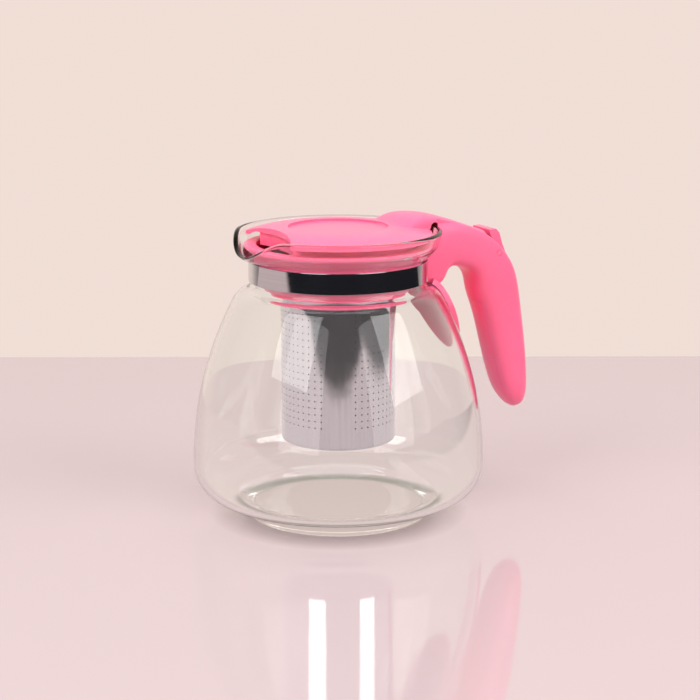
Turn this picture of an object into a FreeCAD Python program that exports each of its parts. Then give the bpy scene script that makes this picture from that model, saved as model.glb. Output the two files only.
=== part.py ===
import FreeCAD, Part
import math
import os

# Glass teapot: jug with a pinched lip, steel neck band, pink handle with a thumb lever,
# hinged lid and a hanging strainer. Millimetres. +Z is up, the spout points to -X and the
# handle to +X. The origin is the centre of the foot, on the surface the jug stands on.

# Jug
rim_height = 141.3
belly_radius = 72.3
belly_height = 26.2
shoulder_radius = 51.6
shoulder_drop = 32.3
corner_radius = 17.0
underside_slope = 14.0
foot_top_radius = 50.5
foot_radius = 45.5
foot_round = 2.0
glass_wall = 2.4
floor_thickness = 3.6
floor_radius = 42.0
shoulder_round = 11.0
neck_fillet = 3.0
neck_radius = 43.4
cup_height = 12.9
cup_foot_flare = 1.7
cup_foot_rise = 2.5
cup_bends = ((-2.4, -6.9), (-1.1, -3.8))
rim_lean = 15.0
rim_radius = 49.6
bead_radius = 1.25
bead_start = -35.0
bead_sweep = 235.0
lip_half_angle = 36.0
lip_drop = 9.0
lip_reach = 0.8

# Clearances
fit_gap = 0.1
loose_gap = 0.4
running_gap = 0.07
press_gap = 0.02

# Neck band, its screw and nut
band_wall = 0.6
band_height = 10.1
band_drop = 0.2
ear_gap = 1.0
ear_reach = 11.0
screw_x = 50.2
screw_radius = 1.5
screw_head_radius = 2.75
screw_head_height = 2.0
nut_flats = 5.5
nut_height = 2.4
nut_inset = 1.0

# Handle
handle_half_width = 11.0
cheek_wall = 2.2
root_floor_drop = 9.3
tongue_wall = 2.6
tongue_tip_wall = 0.8
tongue_root_angle = 8.0
tongue_half_width = 18.0
tongue_tip_drop = 62.3
tongue_top_drop = 27.3
channel_drop = 23.8
channel_height = 25.0
grip_wall = 2.4
cover_top_drop = 40.3
cover_bottom_drop = 86.3
cover_top_out = 33.0
cover_bottom_out = 45.0
cover_half_width = 7.0
peg_radius = 1.7
peg_inset = 8.0

# Lid hinge and thumb lever, measured from the rim
lid_hinge_out = 17.4
lid_hinge_drop = 7.1
lever_hinge_out = 35.9
lever_hinge_drop = 15.0
lid_pin_radius = 1.5
lever_pin_radius = 1.25
pin_sink_radius = 1.6
pin_sink_depth = 0.9
pin_end_gap = 0.3
spring_radius = 2.0
spring_wire = 0.3
spring_turns = 3
spring_pitch = 0.75

# Lid
lid_radius = 46.0
lid_edge_drop = 2.1
lid_edge_height = 1.7
lid_crown_rise = 3.0
lid_crown_radius = 26.0
lid_wall = 2.0
recess_radius = 24.5
recess_depth = 1.2
spout_cut_distance = 32.0
spout_cut_radius = 69.0
plug_radius = 38.4
plug_wall = 1.8
plug_drop = 6.7
hump_wall = 2.2
arm_start = 4.0
tail_end = 29.4
tail_drop = 3.7
hollow_start = -21.0

# Strainer
collar_radius = 45.9
collar_drop = 5.3
collar_wall = 2.0
funnel_drop = 23.8
funnel_height = 5.0
funnel_radius = 33.0
ring_height = 3.0
basket_radius = 28.2
basket_wall = 0.5
basket_drop = 103.0
basket_flange = 2.3
basket_floor_skirt = 3.0

# Worked out from the sizes above
origin = FreeCAD.Vector(0, 0, 0)
up = FreeCAD.Vector(0, 0, 1)
across = FreeCAD.Vector(0, 1, 0)
shoulder_start = rim_height - shoulder_drop
shoulder_inset = belly_radius - shoulder_radius
wall_arc_radius = (shoulder_inset**2 + (shoulder_start - belly_height) ** 2) / (2 * shoulder_inset)
neck_top = rim_height - cup_height
neck_bore = neck_radius - glass_wall
band_top = neck_top - band_drop
band_bottom = band_top - band_height
band_inner = neck_radius + fit_gap
band_outer = band_inner + band_wall
channel_half_width = handle_half_width - cheek_wall
channel_floor = rim_height - channel_drop
arm_half_width = channel_half_width - loose_gap
head_seat = channel_half_width - screw_head_height - loose_gap
nut_face = nut_inset - head_seat
tongue_tip_height = rim_height - tongue_tip_drop
tongue_top_height = rim_height - tongue_top_drop
cover_top = rim_height - cover_top_drop
cover_bottom = rim_height - cover_bottom_drop
peg_heights = (cover_top - peg_inset, cover_bottom + peg_inset)
lid_pin_low = cheek_wall / 2 - handle_half_width
lid_pin_high = handle_half_width - cheek_wall / 4
lever_pin_half = handle_half_width - pin_end_gap
spring_half_width = spring_pitch * spring_turns / 2 + spring_wire + loose_gap
lid_edge_bottom = rim_height - lid_edge_drop
lid_edge_top = lid_edge_bottom + lid_edge_height
lid_crown = rim_height + lid_crown_rise
lid_under = lid_crown - recess_depth - lid_wall
plug_bottom = rim_height - plug_drop
collar_top = rim_height - collar_drop
collar_outer = neck_bore - loose_gap
collar_bore = collar_outer - collar_wall
funnel_top = rim_height - funnel_drop
funnel_bottom = funnel_top - funnel_height
ring_bottom = funnel_bottom - ring_height
ring_bore = basket_radius + loose_gap
ledge = basket_radius + basket_flange
basket_bottom = rim_height - basket_drop


def point(radius, height):
    """A point of a side view: distance along +X and height."""
    return FreeCAD.Vector(radius, 0, height)


def from_rim(out, rise):
    """A point of the handle's side view, measured from the middle of the rim bead."""
    return point(rim_radius + out, rim_height + rise)


def polar(centre, radius, degrees):
    """A point on a circle in the side view."""
    angle = math.radians(degrees)
    return centre + point(radius * math.cos(angle), radius * math.sin(angle))


def arc(centre, radius, start, end):
    """An arc in the side view between two angles in degrees."""
    middle = polar(centre, radius, (start + end) / 2)
    return Part.Arc(polar(centre, radius, start), middle, polar(centre, radius, end)).toShape()


def line(start, end):
    """A straight edge."""
    return Part.LineSegment(start, end).toShape()


def polyline(points):
    """Straight edges through the points, in order."""
    return [line(a, b) for a, b in zip(points, points[1:])]


def spline(points):
    """A smooth edge through the points."""
    curve = Part.BSplineCurve()
    curve.interpolate(points)
    return curve.toShape()


def face(edges):
    """A flat face inside a closed loop of edges."""
    return Part.Face(Part.Wire(Part.__sortEdges__(edges)))


def turned(edges):
    """A solid of revolution about the jug's axis from a closed half outline."""
    return face(edges).revolve(origin, up, 360)


def slab(edges, low, high):
    """A side view outline given thickness across the handle, from y = low to y = high."""
    flat = face(edges)
    flat.translate(across * low)
    return flat.extrude(across * (high - low))


def cross_rod(centre, radius, low, high):
    """A rod across the handle through a point of the side view."""
    return Part.makeCylinder(radius, high - low, centre + across * low, across)


def block(low, high):
    """A box between two corners."""
    size = high - low
    return Part.makeBox(size.x, size.y, size.z, low)


# Jug outline, shared by the glass and by everything that hugs it
corner_centre = point(belly_radius - corner_radius, belly_height)
wall_centre = point(belly_radius - wall_arc_radius, belly_height)
shoulder_angle = math.degrees(math.asin((shoulder_start - belly_height) / wall_arc_radius))
shoulder_centre = polar(wall_centre, wall_arc_radius - shoulder_round, shoulder_angle)
fillet_reach = shoulder_round + neck_fillet
fillet_angle = math.degrees(math.acos((neck_radius + neck_fillet - shoulder_centre.x) / fillet_reach))
fillet_centre = polar(shoulder_centre, fillet_reach, fillet_angle)
underside_rise = math.tan(math.radians(underside_slope))
underside_start = polar(corner_centre, corner_radius, underside_slope - 90)
foot_top = underside_start.z - (underside_start.x - foot_top_radius) * underside_rise


def body_wall(offset):
    """Edges of the jug's wall from the underside up to the neck, moved outwards by offset."""
    shoulder_bend = fillet_angle + 180
    return [
        arc(corner_centre, corner_radius + offset, underside_slope - 90, 0),
        arc(wall_centre, wall_arc_radius + offset, 0, shoulder_angle),
        arc(shoulder_centre, shoulder_round + offset, shoulder_angle, fillet_angle),
        arc(fillet_centre, neck_fillet - offset, shoulder_bend, 180),
    ]


def cup_line():
    """Middle line of the flared cup between the neck and the rim."""
    neck_middle = neck_radius - glass_wall / 2
    curve = Part.BSplineCurve()
    curve.interpolate(
        Points=[
            point(neck_middle, neck_top),
            point(neck_middle + cup_foot_flare, neck_top + cup_foot_rise),
            *[from_rim(out, rise) for out, rise in cup_bends],
            from_rim(0, 0),
        ],
        InitialTangent=up,
        FinalTangent=polar(origin, 1, 90 - rim_lean),
    )
    return curve


def cup_section(bead, half_wall):
    """Points up the outside of the cup, round the rim bead and down the inside."""
    curve = cup_line()
    stations = 11
    outside = []
    inside = []
    for step in range(stations):
        place = curve.parameterAtDistance((curve.length() - bead) * step / (stations - 1))
        along = curve.tangent(place)[0]
        outwards = point(along.z, -along.x)
        outside.append(curve.value(place) + outwards * half_wall)
        inside.append(curve.value(place) - outwards * half_wall)
    bead_steps = 9
    round_bead = []
    for step in range(bead_steps + 1):
        round_bead.append(polar(from_rim(0, 0), bead, bead_start + bead_sweep * step / bead_steps))
    return outside + round_bead + inside[::-1]


def lip_shaped(station, degrees):
    """A point of the cup turned about the axis, drawn down and out where the lip is pinched."""
    away = abs(degrees % 360 - 180)
    pinch = 0
    if away < lip_half_angle:
        pinch = 0.5 + 0.5 * math.cos(math.pi * away / lip_half_angle)
    share = (station.z - neck_top) / (rim_height - neck_top)
    radius = station.x + lip_reach * pinch * share
    angle = math.radians(degrees)
    height = station.z - lip_drop * pinch * share
    return FreeCAD.Vector(radius * math.cos(angle), radius * math.sin(angle), height)


def strip_face(rings):
    """A smooth surface round and along a stack of rings of points."""
    rows = len(rings)
    columns = len(rings[0])
    surface = Part.BSplineSurface()
    surface.buildFromPolesMultsKnots(
        rings,
        [4] + [1] * (rows - 4) + [4],
        [1] * (columns + 1),
        list(range(rows - 2)),
        list(range(columns + 1)),
        False,
        True,
        3,
        3,
    )
    return surface.toShape()


def sewn(faces):
    """A solid from faces that close."""
    skin = Part.Compound(faces)
    skin.sewShape(0.0001)
    return Part.Solid(skin.Shells[0])


def glass_cup():
    """The glass above the neck: one smooth closed strip with the lip in it, on a flat ring."""
    columns = 96
    step = 360 / columns
    spread = 3 / (2 + math.cos(math.radians(step)))
    rings = []
    for station in cup_section(bead_radius, glass_wall / 2):
        ring = [lip_shaped(station, (column - 1) * step) for column in range(columns)]
        rings.append([FreeCAD.Vector(pole.x * spread, pole.y * spread, pole.z) for pole in ring])
    strip = strip_face(rings)
    ends = sorted([edge for edge in strip.Edges if edge.Closed], key=lambda edge: -edge.Length)
    return sewn([strip, Part.Face([Part.Wire([edge]) for edge in ends])])


def glass_jug():
    """The jug: foot, belly, shoulder and neck turned in one, with the cup on top."""
    inner_start = polar(corner_centre, corner_radius - glass_wall, underside_slope - 90)
    crease_radius = foot_top_radius - glass_wall / 4
    crease = point(crease_radius, inner_start.z - (inner_start.x - crease_radius) * underside_rise)
    outline = [
        line(origin, point(foot_radius - foot_round, 0)),
        arc(point(foot_radius - foot_round, foot_round), foot_round, -90, 0),
        line(point(foot_radius, foot_round), point(foot_top_radius, foot_top)),
        line(point(foot_top_radius, foot_top), underside_start),
        *body_wall(0),
        line(point(neck_radius, fillet_centre.z), point(neck_radius, neck_top)),
        line(point(neck_radius, neck_top), point(neck_bore, neck_top)),
        line(point(neck_bore, neck_top), point(neck_bore, fillet_centre.z)),
        *body_wall(-glass_wall),
        line(inner_start, crease),
        line(crease, point(floor_radius, floor_thickness)),
        line(point(floor_radius, floor_thickness), point(0, floor_thickness)),
        line(point(0, floor_thickness), origin),
    ]
    return turned(outline).fuse([glass_cup()], 0.0001)


def jug_envelope(gap):
    """Everything inside the jug and its band, swollen by a gap, for cutting what hugs them."""
    belt = band_outer + gap
    section = cup_section(bead_radius + gap, glass_wall / 2 + gap)
    widest = max(range(len(section)), key=lambda n: section[n].x)
    flare = [station for station in section[: widest + 1] if station.x > belt]
    flare_start = section[section.index(flare[0]) - 1].z
    start = polar(corner_centre, corner_radius + gap, underside_slope - 90)
    ceiling = rim_height + handle_half_width * 3
    ring_edge = section[widest].x
    rest = polyline(
        [
            point(neck_radius + gap, fillet_centre.z),
            point(belt, fillet_centre.z),
            point(belt, flare_start),
            flare[0],
        ]
    )
    cap = polyline([flare[-1], point(ring_edge, ceiling), point(0, ceiling), point(0, start.z), start])
    return turned(body_wall(gap) + rest + [spline(flare)] + cap)


def neck_band():
    """Steel hoop round the neck whose two ends turn out into ears inside the handle root."""
    height = band_top - band_bottom
    base = point(0, band_bottom)
    hoop = Part.makeCylinder(band_outer, height, base).cut(Part.makeCylinder(band_inner, height, base))
    slit = block(
        FreeCAD.Vector(0, -ear_gap, band_bottom), FreeCAD.Vector(band_outer + ear_reach, ear_gap, band_top)
    )
    band = hoop.cut(slit)
    for side in (-1, 1):
        low = min(side * ear_gap, side * (ear_gap + band_wall))
        ear = block(
            FreeCAD.Vector(band_inner + band_wall / 2, low, band_bottom),
            FreeCAD.Vector(band_outer + ear_reach, low + band_wall, band_top),
        )
        band = band.fuse(ear)
    hole = cross_rod(screw_centre, screw_radius + fit_gap, -handle_half_width, handle_half_width)
    return band.cut(hole).removeSplitter()


# Clamp screw across the ears: head seat on the far side, nut pocket on the near side
screw_centre = point(screw_x, (band_bottom + band_top) / 2)


def band_screw():
    """Pan head screw with a cross slot, through both ears."""
    tip = nut_face - nut_height - loose_gap
    shank = cross_rod(screw_centre, screw_radius, tip, head_seat)
    head = cross_rod(screw_centre, screw_head_radius, head_seat, head_seat + screw_head_height)
    head = head.makeFillet(screw_head_height / 3, [head.Edges[0]])
    slot_half = screw_head_radius * 0.6
    slot_wall = screw_head_height / 6
    for tall, wide in ((slot_half, slot_wall), (slot_wall, slot_half)):
        corner = FreeCAD.Vector(wide, screw_head_height, tall)
        middle = screw_centre + across * (head_seat + screw_head_height * 1.5)
        head = head.cut(block(middle - corner, middle + corner))
    return shank.fuse(head)


def nut_blank(flats, low, high):
    """A hexagonal prism across the handle, standing on a flat."""
    corner = flats / math.sqrt(3)
    corners = [polar(screw_centre, corner, 30 + 60 * n) for n in range(7)]
    return slab(polyline(corners), low, high)


def band_nut():
    """Hexagon nut held in the root's pocket."""
    nut = nut_blank(nut_flats, nut_face - nut_height, nut_face)
    return nut.cut(cross_rod(screw_centre, screw_radius + press_gap, -handle_half_width, 0))


# Handle
lid_hinge = from_rim(lid_hinge_out, -lid_hinge_drop)
lever_hinge = from_rim(lever_hinge_out, -lever_hinge_drop)
# Sections of the handle from the root over the arch and down the grip: outer point and
# finger-side point from the rim, half width, squareness of the outer and of the finger side
handle_sections = [
    (-11.6, 2.6, -11.6, -31.0, 1.0, 7.0, 6.0),
    (-3.0, 3.0, -2.0, -31.0, 1.0, 7.0, 6.0),
    (3.0, 3.2, 5.2, -30.0, 1.0, 7.0, 6.0),
    (7.4, 3.0, 6.4, -23.0, 1.0, 7.0, 5.0),
    (12.2, 2.2, 10.8, -20.4, 1.0, 7.0, 4.0),
    (20.8, -0.6, 17.2, -21.7, 1.0, 7.0, 3.4),
    (30.3, -4.7, 21.4, -24.3, 1.0, 7.0, 3.0),
    (37.9, -10.8, 23.2, -27.6, 1.0, 6.5, 2.8),
    (43.1, -17.0, 23.6, -31.2, 1.0, 6.0, 2.5),
    (47.6, -24.0, 23.8, -34.6, 1.0, 4.5, 2.4),
    (51.2, -33.0, 25.0, -38.6, 1.0, 2.8, 2.3),
    (53.4, -45.0, 28.6, -47.5, 1.0, 2.3, 2.3),
    (55.6, -59.0, 32.2, -61.0, 1.0, 2.3, 2.3),
    (56.9, -72.5, 35.6, -73.5, 1.0, 2.3, 2.3),
    (57.6, -84.0, 39.2, -84.5, 0.96, 2.3, 2.3),
    (57.5, -90.5, 42.2, -90.5, 0.84, 2.3, 2.3),
    (56.9, -95.0, 45.6, -95.0, 0.62, 2.3, 2.3),
    (55.6, -97.3, 48.0, -97.3, 0.42, 2.3, 2.3),
    (53.0, -98.5, 50.6, -98.5, 0.15, 2.3, 2.3),
]


def handle_form(inset):
    """The handle's outer form, or with an inset a smaller one inside it."""
    columns = 32
    rings = []
    for out, rise, in_out, in_rise, width, power, in_power in handle_sections:
        outer = from_rim(out, rise)
        inner = from_rim(in_out, in_rise)
        half_width = handle_half_width * width
        middle = (outer + inner) * 0.5
        deep = (outer - inner).Length / 2
        deep -= min(inset, deep * 0.4)
        half_width -= min(inset, half_width * 0.4)
        along = (outer - inner).normalize()
        ring = []
        for column in range(columns):
            angle = math.radians(360 * column / columns)
            cosine = math.cos(angle)
            sine = math.sin(angle)
            square = power if cosine > 0 else in_power
            span = (abs(cosine / deep) ** square + abs(sine / half_width) ** square) ** (-1 / square)
            ring.append(middle + along * (span * cosine) + across * (span * sine))
        rings.append(ring)
    strip = strip_face(rings)
    ends = [Part.Face(Part.Wire([edge])) for edge in strip.Edges if edge.Closed]
    return sewn([strip] + ends)


def tongue():
    """Leaf-shaped brace that lies on the glass shoulder below the root."""
    inner = loose_gap
    outer = loose_gap + tongue_wall
    tip_angle = math.degrees(math.asin((tongue_tip_height - tongue_wall - belly_height) / wall_arc_radius))
    top_angle = fillet_angle - tongue_root_angle
    back = [
        polar(wall_centre, wall_arc_radius + inner + tongue_tip_wall, tip_angle),
        polar(wall_centre, wall_arc_radius + outer - tongue_tip_wall, (tip_angle + shoulder_angle) / 2),
        polar(wall_centre, wall_arc_radius + outer, shoulder_angle),
        polar(shoulder_centre, shoulder_round + outer, (shoulder_angle + top_angle) / 2),
        polar(shoulder_centre, shoulder_round + outer, top_angle),
    ]
    strip = [
        arc(wall_centre, wall_arc_radius + inner, tip_angle, shoulder_angle),
        arc(shoulder_centre, shoulder_round + inner, shoulder_angle, top_angle),
        line(polar(shoulder_centre, shoulder_round + inner, top_angle), back[-1]),
        spline(back),
        line(back[0], polar(wall_centre, wall_arc_radius + inner, tip_angle)),
    ]
    ring = turned(strip)
    length = tongue_top_height - tongue_tip_height
    side = [(0.62, 1.2), (0.78, 1.0), (1.0, 0.7), (0.88, 0.38), (0.5, 0.1), (0.0, 0.0)]
    leaf = []
    for wide, high in side:
        leaf.append(FreeCAD.Vector(0, wide * tongue_half_width, tongue_tip_height + high * length))
    leaf += [FreeCAD.Vector(0, -corner.y, corner.z) for corner in leaf[-2::-1]]
    blade = face([spline(leaf), line(leaf[-1], leaf[0])])
    return ring.common(blade.extrude(FreeCAD.Vector(belly_radius * 2, 0, 0)))


def channel():
    """Slot between the cheeks that holds the lid's arm and the thumb lever."""
    corners = [
        (-1.6, channel_height),
        (-1.6, -root_floor_drop),
        (7.4, -root_floor_drop),
        (8.9, -18.7),
        (20.9, -18.7),
        (26.4, -channel_drop),
        (42.6, -channel_drop),
        (42.6, -19.8),
        (50.0, -13.0),
        (50.0, channel_height),
        (-1.6, channel_height),
    ]
    outline = polyline([from_rim(out, rise) for out, rise in corners])
    return slab(outline, -channel_half_width, channel_half_width)


def grip_band(low, high):
    """Everything around the grip between two heights."""
    reach = handle_half_width * 2
    return block(
        FreeCAD.Vector(rim_radius + reach - handle_half_width, -reach, low),
        FreeCAD.Vector(rim_radius + reach * 4, reach, high),
    )


def grip_limits(height):
    """Finger side and back of the grip, along X, at a height."""
    near = point(rim_radius + handle_half_width, height)
    box = handle_form(0).common(line(near, near + point(handle_half_width * 7, 0))).BoundBox
    return box.XMin, box.XMax


def cover_zone(gap):
    """Window on the finger side of the grip that the cover closes, drawn in by a gap."""
    top = from_rim(cover_top_out, 0).x
    bottom = from_rim(cover_bottom_out, 0).x
    half = cover_half_width - gap
    corners = [
        point(top - handle_half_width * 2, cover_top - gap),
        point(top - gap, cover_top - gap),
        point(bottom - gap, cover_bottom + gap),
        point(bottom - handle_half_width * 2, cover_bottom + gap),
    ]
    return slab(polyline(corners + corners[:1]), -half, half)


def handle_shell():
    """Cheeks, root, brace and hollow grip in one moulding."""
    form = handle_form(0)
    shell = form.fuse(tongue()).cut(jug_envelope(loose_gap))
    cavity = handle_form(grip_wall).common(grip_band(cover_bottom, cover_top))
    shell = shell.cut(cavity).cut(cover_zone(0)).cut(channel())
    for height in peg_heights:
        front, back = grip_limits(height)
        boss_length = (back - front) / 3
        boss_start = point(back - grip_wall - boss_length, height)
        along = FreeCAD.Vector(1, 0, 0)
        boss = Part.makeCylinder(peg_radius * 2, boss_length + grip_wall / 2, boss_start, along)
        bore = Part.makeCylinder(peg_radius + press_gap, boss_length, boss_start, along)
        shell = shell.fuse(boss).cut(bore)
    ear_room = ear_gap + band_wall + loose_gap
    ears = block(
        FreeCAD.Vector(neck_radius, -ear_room, band_bottom - loose_gap),
        FreeCAD.Vector(band_outer + ear_reach + loose_gap, ear_room, band_top + loose_gap),
    )
    shank_end = nut_face - nut_height - loose_gap * 2
    shank = cross_rod(screw_centre, screw_radius + fit_gap, shank_end, handle_half_width)
    recess = cross_rod(screw_centre, screw_head_radius + loose_gap, head_seat, handle_half_width)
    pocket = nut_blank(nut_flats + fit_gap, nut_face - nut_height - fit_gap, nut_face)
    drop = block(
        FreeCAD.Vector(screw_x - nut_flats / 2 - fit_gap, nut_face - nut_height - fit_gap, screw_centre.z),
        FreeCAD.Vector(screw_x + nut_flats / 2 + fit_gap, nut_face, rim_height),
    )
    for cut in (ears, shank, recess, pocket, drop):
        shell = shell.cut(cut)
    shell = shell.cut(cross_rod(lid_hinge, lid_pin_radius + press_gap, lid_pin_low, handle_half_width))
    lever_bore = lever_pin_radius + running_gap
    shell = shell.cut(cross_rod(lever_hinge, lever_bore, -handle_half_width, handle_half_width))
    for low in (-handle_half_width, handle_half_width - pin_sink_depth):
        shell = shell.cut(cross_rod(lever_hinge, pin_sink_radius, low, low + pin_sink_depth))
    return shell


def grip_cover():
    """Cover that closes the grip on the finger side, with two pegs pressed into the shell."""
    cover = handle_form(0).cut(handle_form(grip_wall)).common(cover_zone(fit_gap))
    for height in peg_heights:
        front, back = grip_limits(height)
        start = point(front + grip_wall / 2, height)
        reach = back - grip_wall - fit_gap - start.x
        cover = cover.fuse(Part.makeCylinder(peg_radius, reach, start, FreeCAD.Vector(1, 0, 0)))
    return cover


def lid_pin():
    """Hinge pin of the lid, pushed in from the far side and blind on the near side."""
    return cross_rod(lid_hinge, lid_pin_radius, lid_pin_low + fit_gap, lid_pin_high)


def lever_pin():
    """Pin of the thumb lever, fixed in the lever and turning in the cheeks."""
    return cross_rod(lever_hinge, lever_pin_radius, -lever_pin_half, lever_pin_half)


# Side view of the thumb lever from the rim: pad, back, hub and nose
lever_contour = [
    (31.2, -4.4),
    (31.3, -3.3),
    (35.0, -3.1),
    (37.0, -5.3),
    (38.8, -11.1),
    (41.2, -16.5),
    (41.0, -19.1),
    (36.4, -20.3),
    (32.4, -17.3),
    (32.9, -8.3),
    (31.2, -4.4),
]


def thumb_lever():
    """Lever with its pad, nose and hub; a pocket round the pin holds the spring."""
    outline = polyline([from_rim(out, rise) for out, rise in lever_contour])
    lever = slab(outline, -arm_half_width, arm_half_width)
    lever = lever.cut(cross_rod(lever_hinge, lever_pin_radius + press_gap, -arm_half_width, arm_half_width))
    pocket_radius = spring_radius + spring_wire * 3
    pocket = cross_rod(lever_hinge, pocket_radius, -spring_half_width, spring_half_width)
    slot = block(
        lever_hinge + FreeCAD.Vector(-pocket_radius, -spring_half_width, -handle_half_width),
        lever_hinge + FreeCAD.Vector(pocket_radius, spring_half_width, 0),
    )
    return lever.cut(pocket).cut(slot)


def lever_spring():
    """Torsion spring round the lever pin with one leg on the lever and one on the handle."""
    length = spring_pitch * spring_turns
    coil_path = Part.makeHelix(spring_pitch, length, spring_radius)
    wire_section = Part.Wire(
        Part.makeCircle(spring_wire, FreeCAD.Vector(spring_radius, 0, 0), FreeCAD.Vector(0, 1, 0))
    )
    coil = Part.Wire(coil_path).makePipeShell([wire_section], True, True)
    down_leg = Part.makeCylinder(
        spring_wire, lever_hinge.z - channel_floor - loose_gap, FreeCAD.Vector(spring_radius, 0, 0), across
    )
    up_leg = Part.makeCylinder(
        spring_wire, spring_radius * 0.8, FreeCAD.Vector(spring_radius, 0, length), across * -1
    )
    spring = coil.fuse(down_leg).fuse(up_leg)
    spring.translate(FreeCAD.Vector(0, 0, -length / 2))
    spring.rotate(origin, FreeCAD.Vector(1, 0, 0), -90)
    spring.translate(lever_hinge)
    return spring


# Sections of the humped arm from the lid's recess to the tail: place and crown height from the
# rim, half width, and how deep the crown is rounded
tail_half_width = arm_half_width + fit_gap
hump_sections = [
    (-32.6, -1.4, 13.0, 1.2),
    (-26.0, 1.6, 16.6, 2.4),
    (-19.6, 6.4, 17.2, 5.0),
    (-13.1, 7.8, 15.6, 5.6),
    (-6.6, 7.4, 12.8, 5.2),
    (-1.6, 6.5, 10.2, 3.8),
    (4.4, 4.9, tail_half_width, 2.4),
    (12.4, 2.4, tail_half_width, 1.8),
    (20.4, -0.5, tail_half_width, 1.8),
    (tail_end, -tail_drop, tail_half_width, 1.8),
]
crown_power = 2.4


def hump_form(wall, start):
    """Humped arm of the lid as far down as it can go, or with a wall its hollow."""
    low = lid_hinge.z - handle_half_width
    crown_steps = 10
    side_steps = 4
    rings = []
    for out, rise, wide, depth in hump_sections:
        if out < start:
            continue
        place = rim_radius + out
        half = wide - wall
        spring_line = rim_height + rise - wall - depth
        ring = []
        for step in range(crown_steps + 1):
            angle = math.pi * step / crown_steps
            y = math.copysign(abs(math.cos(angle)) ** (2 / crown_power), math.cos(angle)) * half
            ring.append(FreeCAD.Vector(place, y, spring_line + math.sin(angle) ** (2 / crown_power) * depth))
        drop = (spring_line - low) / side_steps
        ring += [FreeCAD.Vector(place, -half, spring_line - drop * n) for n in range(1, side_steps + 1)]
        ring.append(FreeCAD.Vector(place, 0, low))
        ring += [FreeCAD.Vector(place, half, low + drop * n) for n in range(side_steps)]
        rings.append(ring)
    strip = strip_face(rings)
    ends = [Part.Face(Part.Wire([edge])) for edge in strip.Edges if edge.Closed]
    return sewn([strip] + ends)


def arm_underside():
    """Side view of what is kept of the humped arm, open upwards."""
    ceiling = rim_height + handle_half_width * 2
    corners = [
        point(0, lid_under),
        point(rim_radius + arm_start, lid_under),
        from_rim(arm_start, -6.7),
        from_rim(8.7, -8.3),
        from_rim(13.4, -11.1),
        from_rim(23.9, -11.1),
        from_rim(tail_end - loose_gap, -7.7),
        from_rim(tail_end, 0),
        point(rim_radius + tail_end, ceiling),
        point(0, ceiling),
        point(0, lid_under),
    ]
    return slab(polyline(corners), -lid_radius, lid_radius)


def rim_notch():
    """Ring-shaped slot that lets the lid's arm straddle the rim."""
    inner = lid_radius + loose_gap
    outer = rim_radius + bead_radius + loose_gap * 3
    half = (outer - inner) / 2
    centre = point((inner + outer) / 2, rim_height)
    low = rim_height - handle_half_width * 2
    return turned(
        [arc(centre, half, 0, 180)]
        + polyline([point(inner, rim_height), point(inner, low), point(outer, low), point(outer, rim_height)])
    )


def spout_cut(extra):
    """Drum that cuts the lid back towards the spout."""
    radius = spout_cut_radius + extra
    base = point(-spout_cut_distance - spout_cut_radius, rim_height - handle_half_width * 2)
    return Part.makeCylinder(radius, handle_half_width * 4, base)


def lid_cap():
    """Domed lid with a round recess, a cut towards the spout and the humped arm."""
    crown_edge = point(lid_crown_radius, lid_crown)
    rim_edge = point(lid_radius, lid_edge_top)
    bulge = (crown_edge + rim_edge) * 0.5 + point(lid_wall * 0.15, lid_wall * 0.4)
    dome = turned(
        [Part.Arc(crown_edge, bulge, rim_edge).toShape()]
        + polyline(
            [
                rim_edge,
                point(lid_radius, lid_edge_bottom),
                point(lid_radius - lid_wall, lid_edge_bottom),
                point(lid_radius - lid_wall, lid_edge_bottom + loose_gap),
                point(plug_radius + lid_wall, lid_under),
                point(0, lid_under),
                point(0, lid_crown),
                crown_edge,
            ]
        )
    )
    recess = Part.makeCylinder(recess_radius, recess_depth, point(0, lid_crown - recess_depth))
    arm = hump_form(0, -lid_radius).common(arm_underside())
    arm_end = rim_radius + tail_end
    for side in (-1, 1):
        low, high = sorted((side * arm_half_width, side * lid_radius))
        beside = block(FreeCAD.Vector(rim_radius, low, 0), FreeCAD.Vector(arm_end, high, rim_height * 2))
        arm = arm.cut(beside)
    cap = dome.cut(recess).fuse(arm)
    hollow = hump_form(hump_wall, hollow_start)
    hollow = hollow.common(
        block(
            FreeCAD.Vector(0, hump_wall - arm_half_width, 0),
            FreeCAD.Vector(arm_end - hump_wall, arm_half_width - hump_wall, rim_height * 2),
        )
    )
    cap = cap.cut(hollow).cut(rim_notch()).cut(spout_cut(0))
    hole = cross_rod(lid_hinge, lid_pin_radius + running_gap, -handle_half_width, handle_half_width)
    return cap.cut(hole)


def lid_plug():
    """Hollow plug under the lid that hangs into the strainer's collar, walled towards the spout."""
    height = lid_under - plug_bottom
    base = point(0, plug_bottom)
    plug = Part.makeCylinder(plug_radius, height, base).cut(spout_cut(plug_wall))
    hollow = Part.makeCylinder(plug_radius - plug_wall, height, base + up * plug_wall)
    return plug.cut(hollow.cut(spout_cut(plug_wall * 2)))


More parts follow.
